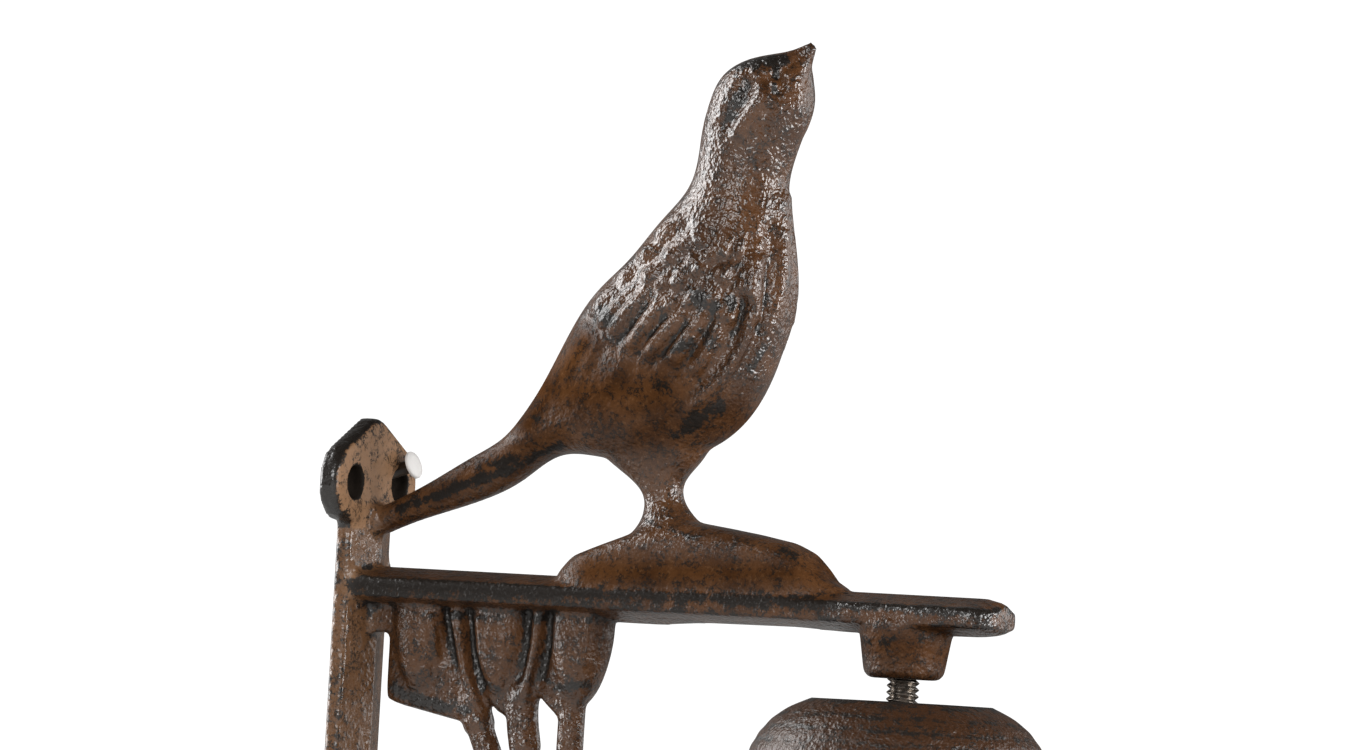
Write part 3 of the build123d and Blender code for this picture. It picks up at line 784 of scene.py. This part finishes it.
class WALLBELL_OT_casting(bpy.types.Operator):
    """Fuse the plate, arm, perch, bird, leaves and stems into one casting"""

    bl_idname = "wall_bell.casting"
    bl_label = "Bracket Casting"

    def execute(self, context):
        sizes = context.scene.wall_bell_casting
        casting = self.fused(sizes)
        self.model_plumage(casting.data, sizes.relief)
        self.paint_layers(casting.data)
        casting.data.shade_smooth()
        material = iron_material("rust_brown_iron", context.scene.wall_bell_finish)
        place_piece(casting, "frame", "cast_iron", material, "bracket")
        return {"FINISHED"}

    def fused(self, sizes):
        """One smooth mesh from overlapping forms, with the screw holes and the boss's bore cut out."""
        rough = mesh_object("casting_forms", self.forms())
        holes = [
            self.wall_hole(y, z) for z in (UPPER_HOLES, LOWER_HOLES) for y in (-HOLE_SIDE, HOLE_SIDE)]
        holes.append(shell(turned([(3.15, -14.0), (3.15, -1.5)], BELL_AXIS, 40)))
        cutter = mesh_object("casting_holes", holes)
        fuse = rough.modifiers.new("fuse", "REMESH")
        fuse.mode = "VOXEL"
        fuse.voxel_size = sizes.grain
        soften = rough.modifiers.new("soften", "SMOOTH")
        soften.factor = 0.5
        soften.iterations = sizes.softness
        cut = rough.modifiers.new("cut", "BOOLEAN")
        cut.operation = "DIFFERENCE"
        cut.solver = "EXACT"
        cut.object = cutter
        casting = finished("casting", rough)
        bpy.data.objects.remove(cutter)
        return casting

    def forms(self):
        """Overlapping shells of the plate, arm, perch, bird, web, stems, leaves, boss and corner block."""
        forms = [strip_shell(), head_shell(UPPER_HOLES, 1), head_shell(LOWER_HOLES, -1)]
        forms += [arm_shell(), corner_shell()]
        forms.append(upright_slab(MOUND_ROWS, foot=0, half_width=7.7, square=3.2, end_round=14))
        forms.append(upright_slab(HEM_ROWS, foot=0, half_width=2.4, square=5, end_round=2))
        forms += [bird_shell(), leg_shell(), stalk_shell()]
        forms += [stem_shell(rows, radius=2.6) for rows in STEM_ROWS]
        forms += [stem_shell(rows[:4], radius=3.1) for rows in STEM_ROWS[:2]]
        forms += [leaf_shell(middle, half_length) for middle, half_length in LEAVES]
        boss = [(9.1, -1.0), (8.3, -6.0), (7.6, -10.4), (6.5, -11.5)]
        forms.append(shell(turned(boss, BELL_AXIS, 64)))
        corner = [(x, -2.5, z) for x, z in ((1, 0), (9.6, 0), (9.6, -8.0), (1, -8.2))]
        forms.append(shell(carried(corner, [(0, y, 0) for y in np.linspace(0, 5, 6)])))
        return forms

    def paint_layers(self, mesh):
        """Layers that the iron reads: black from marks, rims and holes, the holes and the marks on lower
        sides being painted shade, bare edges only on the arm and the plate, and dust from marks, holes and
        the fronts of the plate's heads, whose pale fronts are partly painted sheen."""
        points, normals, _ = read_mesh(mesh)
        along, up, facing = self.side_view(points, normals)
        rim, front = self.plate_heads(points / MM, normals)
        holes = self.in_holes(points / MM)
        bare = np.maximum(ramp(up, 9, 6) * ramp(up, -6, -4), ramp(along, 6, 3))
        # Painted shade: the screw holes are blacked evenly, and the marks add painted shade on lower sides
        # besides soot.
        soot_and_shade = np.maximum(smudges(along, up, SOOT_AND_SHADE_MARKS) * facing, np.maximum(rim, 0.9 * holes))
        mark_wear(mesh, 6, soot_and_shade, bare)
        # The dust layer dulls the marks and holes, and pales the plate heads' fronts, partly as painted
        # sheen.
        add_layer(mesh, "dust_and_sheen", np.maximum(smudges(along, up, DUST_MARKS), np.maximum(holes, front)))

    def wall_hole(self, y, z):
        """Screw hole: circles carried through the plate's head along X, wider at the front face."""
        wave = circle(40)
        depth = np.array([-2.0, 2.9, 3.4, 3.8, 4.1, 7.0])[:, None]
        radius = np.array([2.9, 2.9, 3.0, 3.25, 3.6, 3.6])[:, None]
        return shell(spots(depth, y + radius * wave[0], z + radius * wave[1]))

    def in_holes(self, points):
        """1 inside the screw holes and 0 outside their flares, by the distance to the nearest axis."""
        across = np.abs(points[:, 1]) - HOLE_SIDE
        rise = np.minimum(np.abs(points[:, 2] - UPPER_HOLES), np.abs(points[:, 2] - LOWER_HOLES))
        return ramp(np.hypot(across, rise), 3.6, 3.2)

    def plate_heads(self, points, normals):
        """Sooty rim and dusty front of the plate's heads, the front's pale colour partly painted sheen: by
        how far each vertex there faces outwards.
        """
        depth, middle, reach = 4.6, (UPPER_HOLES + LOWER_HOLES) / 2, 54
        on_head = (points[:, 0] < depth) & (np.abs(points[:, 2] - middle) > reach)
        rim = 0.85 * ramp(np.abs(normals[:, 0]), 0.75, 0.45) * on_head
        return rim, 0.75 * ramp(normals[:, 0], 0.6, 0.9) * on_head

    def side_view(self, points, normals):
        """Each vertex as the camera's side view sees it: its place along and up, and how far it faces
        sideways, from 0 at the silhouette to 1."""
        along = (points[:, 0] - VIEW_SKEW * np.abs(points[:, 1])) / MM
        return along, points[:, 2] / MM, ramp(np.abs(normals[:, 1]), 0.12, 0.52)

    def model_plumage(self, mesh, height):
        """Moves the sides of the bird, above the leg, and of the leaves, below the arm, along their normals
        by the relief, faded out towards the silhouette."""
        points, normals, _ = read_mesh(mesh)
        along, up, _ = self.side_view(points, normals)
        facing = ramp(VIEW_OUT * normals[:, 0] + VIEW_SIDE * np.abs(normals[:, 1]), 0.15, 0.5)
        relief = (plumage(along, up) + face(along, up)) * ramp(up, 27, 31)
        relief += lines(along, up, LEAF_LINES) * ramp(up, 0, -2)
        points += normals * (relief * facing * height)[:, None]
        mesh.vertices.foreach_set("co", points.astype(np.float32).ravel())
        mesh.update()


class WALLBELL_OT_bell(bpy.types.Operator):
    """Turn the bell's wall round the hanger's axis"""

    bl_idname = "wall_bell.bell"
    bl_label = "Bell"

    def execute(self, context):
        sizes = context.scene.wall_bell_bell
        outside = along_rows(BELL_OUTSIDE, 140, BELL_OUTSIDE)
        bands = np.sin(outside[:, 1] * 2.4) * ramp(outside[:, 0], 18, 24)
        outside[:, 0] += sizes.ripple / MM * bands
        inside = along_rows(BELL_INSIDE, 80, BELL_INSIDE)
        crown = [(3.6, -20.4), (3.6, -15.9), (10.0, -15.85)]
        lip = [(40.2, -78.9), (37.4, -78.9)]
        profile = np.concatenate([crown, outside, lip, inside, [(10.0, -20.4)]])
        bell = mesh_object("bell_shell", [shell(turned(profile, BELL_AXIS, sizes.around), loop=True)])
        mark_wear(bell.data, 3)
        material = iron_material("bell_iron", context.scene.wall_bell_finish, banded=True)
        place_piece(bell, "frame", "cast_iron", material, "bell")
        return {"FINISHED"}


class WALLBELL_OT_hanger(bpy.types.Operator):
    """Cut the hanger's thread and bend its eye, and chamfer the nut"""

    bl_idname = "wall_bell.hanger"
    bl_label = "Hanger and Nut"

    def execute(self, context):
        sizes = context.scene.wall_bell_bell
        material = zinc_material("dull_zinc", context.scene.wall_bell_finish.zinc)
        hanger = mesh_object("hanger_screw", [self.thread(sizes.pitch / MM), self.eye()])
        place_piece(hanger, "frame", "zinc_steel", material, "hanger")
        nut = mesh_object("hanger_nut", [self.nut()])
        place_piece(nut, "frame", "zinc_steel", material, "nut")
        return {"FINISHED"}

    def thread(self, pitch):
        """Threaded rod: the radius is a rounded triangle wave of height plus turn, in pitches, and narrows
        towards the foot."""
        around, crest, depth, foot = 48, 3.1, 0.75, -30.9
        turn = np.linspace(0, 1, around, endpoint=False)
        height = np.linspace(-29.7, -1.6, 380)
        phase = (height[:, None] / pitch + turn[None, :]) % 1
        radius = crest - depth * np.abs(2 * phase - 1) ** 1.2
        radius *= np.clip((height[:, None] - foot) / 1.2, 0.4, 1)
        return shell(round_axis(radius, height, BELL_AXIS, around))

    def eye(self):
        """Eye: a wire circle carried round a ring in the plane Y = 0."""
        around, ring, wire, height = 72, 4.6, 1.7, -34.3
        wave = circle(around)
        out = spots(wave[0], 0, wave[1])
        middle = np.array([BELL_AXIS, 0, height]) + ring * out
        side = np.tile([0, wire, 0], (around, 1))
        return shell(rings_of(middle, wire * out, side, 28), loop=True)

    def nut(self):
        """Hexagon nut: the hexagon's radius at each angle, cut to a cone near both faces, round a bore."""
        around, half_flats, bore = 72, 5.5, 3.15
        turn = np.linspace(0, 2 * math.pi, around, endpoint=False)
        hexagon = half_flats / np.cos((turn + math.pi / 6) % (math.pi / 3) - math.pi / 6)
        levels = np.array([
            (-27.2, 5.3), (-26.6, 6.3), (-25.6, 9.0), (-23.4, 9.0), (-22.4, 6.3), (-21.8, 5.3)])
        outer = np.minimum(hexagon[None, :], levels[:, 1:])
        radius = np.concatenate([outer, np.full((2, around), bore)])
        height = np.concatenate([levels[:, 0], levels[[-1, 0], 0]])
        return shell(round_axis(radius, height, BELL_AXIS, around), loop=True)


class WALLBELL_OT_clapper(bpy.types.Operator):
    """Give the clapper and washer their finishes"""

    bl_idname = "wall_bell.clapper"
    bl_label = "Clapper and Washer"

    def execute(self, context):
        colours = context.scene.wall_bell_finish
        finishes = {
            "clapper": iron_material("clapper_iron", colours),
            "washer": zinc_material("washer_zinc", colours.zinc),
        }
        for node, material in finishes.items():
            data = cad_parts[node].data
            data.materials.clear()
            data.materials.append(material)
        return {"FINISHED"}


class WALLBELL_OT_nail(bpy.types.Operator):
    """Drive a nail with a pale flat head into the far upper hole"""

    bl_idname = "wall_bell.nail"
    bl_label = "Fixing Nail"

    def execute(self, context):
        around, head_foot, foot_out, foot_up = 40, 7.95, -1.2, 21.2
        rings = turned(NAIL_ROWS, 0, around)
        lean = math.radians(20)
        out = rings[:, :, 2] * math.cos(lean) - rings[:, :, 0] * math.sin(lean)
        up = rings[:, :, 2] * math.sin(lean) + rings[:, :, 0] * math.cos(lean)
        leaning = spots(foot_out + out, HOLE_SIDE + rings[:, :, 1], foot_up + up)
        nail = mesh_object("fixing_nail", [shell(leaning)])
        shank = np.repeat(NAIL_ROWS[:, 1] < head_foot, around)
        # The shank is marked so that its material paints it near-black as a painted shadow.
        add_layer(nail.data, "hollow", np.append(shank, [False, True]))
        material = nail_material("nail_metal", context.scene.wall_bell_finish.nail)
        place_piece(nail, "frame", "zinc_steel", material)
        return {"FINISHED"}


class WALLBELL_OT_stage(bpy.types.Operator):
    """Set the pale floor, soft lights, white surroundings and camera"""

    bl_idname = "wall_bell.stage"
    bl_label = "Stage"

    def execute(self, context):
        self.lights(context, self.floor())
        self.camera(context)
        return {"FINISHED"}

    def floor(self):
        """Round pale floor under the object: a thin disc, turned from its rim."""
        radius, inner, under, middle = 2500, 2490, FLOOR_TOP - 10, 60
        rim = [(inner, FLOOR_TOP), (radius, FLOOR_TOP), (radius, under), (inner, under)]
        floor = mesh_object("floor", [shell(turned(rim, middle, 64))])
        material, shader, place = new_material("pale_floor")
        shade = noise(place, 0.02).tint((0.56, 0.56, 0.55, 1), (0.60, 0.60, 0.59, 1))
        plug(shader, Base_Color=shade, Roughness=0.6, Emission_Color=(1, 1, 1, 1), Emission_Strength=0.25)
        floor.data.materials.append(material)
        return floor

    def lights(self, context, floor):
        """White surroundings and area lights; the low and wide ones leave the floor evenly pale."""
        world = bpy.data.worlds.new("white_room")
        context.scene.world = world
        world.use_nodes = True
        tree = world.node_tree
        tree.nodes.clear()
        start = Wire(tree)
        seen = start.node("ShaderNodeLightPath", output="Is Camera Ray")
        strength = 0.03 + 1.07 * seen
        ground = start.node("ShaderNodeBackground", None, {"Color": (1, 1, 1, 1), "Strength": strength})
        output = tree.nodes.new("ShaderNodeOutputWorld")
        tree.links.new(ground.socket, output.inputs["Surface"])
        target = Vector((0.06, 0, 0.03))
        off_floor = bpy.data.collections.new("lights_off_floor")
        off_floor.objects.link(floor)
        off_floor.collection_objects[0].light_linking.link_state = "EXCLUDE"
        for name, place, size, power, shines, on_floor in (
            ("window_left", (-0.75, -0.08, 0.52), 0.5, 6.0, True, True),
            ("window_low_left", (-0.87, -0.17, 0.13), 0.5, 7.5, True, False),
            ("window_right", (1.00, 0.05, 0.13), 0.4, 8.0, True, False),
            ("front_fill", (0.86, -0.62, 0.46), 0.5, 5.0, False, True),
            ("front_glint", (0.10, -1.04, 0.36), 0.4, 5.0, True, True),
            ("backdrop", (-0.65, 1.38, 0.42), 2.2, 2.0, True, False),
            ("backdrop_right", (0.95, 1.25, 0.19), 1.0, 7.0, True, False),
            ("backdrop_left", (-1.49, 0.27, 0.34), 1.6, 3.0, True, False),
        ):
            light = bpy.data.lights.new(name, "AREA")
            light.energy = power
            light.size = size
            lamp = linked(name, light)
            lamp.visible_camera = False
            lamp.visible_glossy = shines
            if not on_floor:
                lamp.light_linking.receiver_collection = off_floor
            lamp.location = place
            lamp.rotation_euler = (target - lamp.location).to_track_quat("-Z", "Y").to_euler()

    def camera(self, context):
        """Long-lens camera: looks at the middle of the picture, rolled by the picture's tilt."""
        stage = context.scene.wall_bell_stage
        target = Vector(PICTURE_MIDDLE) * MM
        back = Vector((
            math.sin(stage.azimuth) * math.cos(stage.rise),
            -math.cos(stage.azimuth) * math.cos(stage.rise),
            math.sin(stage.rise)))
        right = Vector((math.cos(stage.azimuth), math.sin(stage.azimuth), 0))
        up = back.cross(right)
        turned_right = right * math.cos(stage.roll) + up * math.sin(stage.roll)
        turned_up = up * math.cos(stage.roll) - right * math.sin(stage.roll)
        lens = bpy.data.cameras.new("camera")
        lens.sensor_fit = "HORIZONTAL"
        lens.sensor_width = 36.0
        lens.lens = lens.sensor_width * stage.distance / (PICTURE_WIDTH / PICTURE_SCALE * MM)
        lens.clip_start = 0.05
        lens.clip_end = 20.0
        camera = linked("camera", lens)
        camera.matrix_world = Matrix.Translation(target + back * stage.distance) @ Matrix(
            (turned_right, turned_up, back)).transposed().to_4x4()
        context.scene.camera = camera
        context.scene.view_settings.view_transform = "Standard"


class WALLBELL_PT_panel(bpy.types.Panel):
    """Sidebar panel with the pieces and their settings"""

    bl_idname = "WALLBELL_PT_panel"
    bl_label = "Wall Bell"
    bl_space_type = "VIEW_3D"
    bl_region_type = "UI"
    bl_category = "Wall Bell"

    def draw(self, context):
        for group in GROUPS:
            box = self.layout.box()
            settings = getattr(context.scene, group)
            for key in settings.__annotations__:
                box.prop(settings, key)
        for operator in OPERATORS:
            self.layout.operator(operator.bl_idname)


GROUPS = {
    "wall_bell_casting": CastingSettings,
    "wall_bell_bell": BellSettings,
    "wall_bell_finish": FinishSettings,
    "wall_bell_stage": StageSettings,
}
OPERATORS = (
    WALLBELL_OT_casting,
    WALLBELL_OT_bell,
    WALLBELL_OT_hanger,
    WALLBELL_OT_clapper,
    WALLBELL_OT_nail,
    WALLBELL_OT_stage,
)


def register():
    for name, group in GROUPS.items():
        bpy.utils.register_class(group)
        setattr(bpy.types.Scene, name, bpy.props.PointerProperty(type=group))
    for made in (*OPERATORS, WALLBELL_PT_panel):
        bpy.utils.register_class(made)


def unregister():
    for made in reversed((*OPERATORS, WALLBELL_PT_panel)):
        bpy.utils.unregister_class(made)
    for name, group in GROUPS.items():
        delattr(bpy.types.Scene, name)
        bpy.utils.unregister_class(group)


def main():
    register()
    bpy.ops.wall_bell.casting()
    bpy.ops.wall_bell.bell()
    bpy.ops.wall_bell.hanger()
    bpy.ops.wall_bell.clapper()
    bpy.ops.wall_bell.nail()
    bpy.ops.wall_bell.stage()


if __name__ == "__main__":
    main()
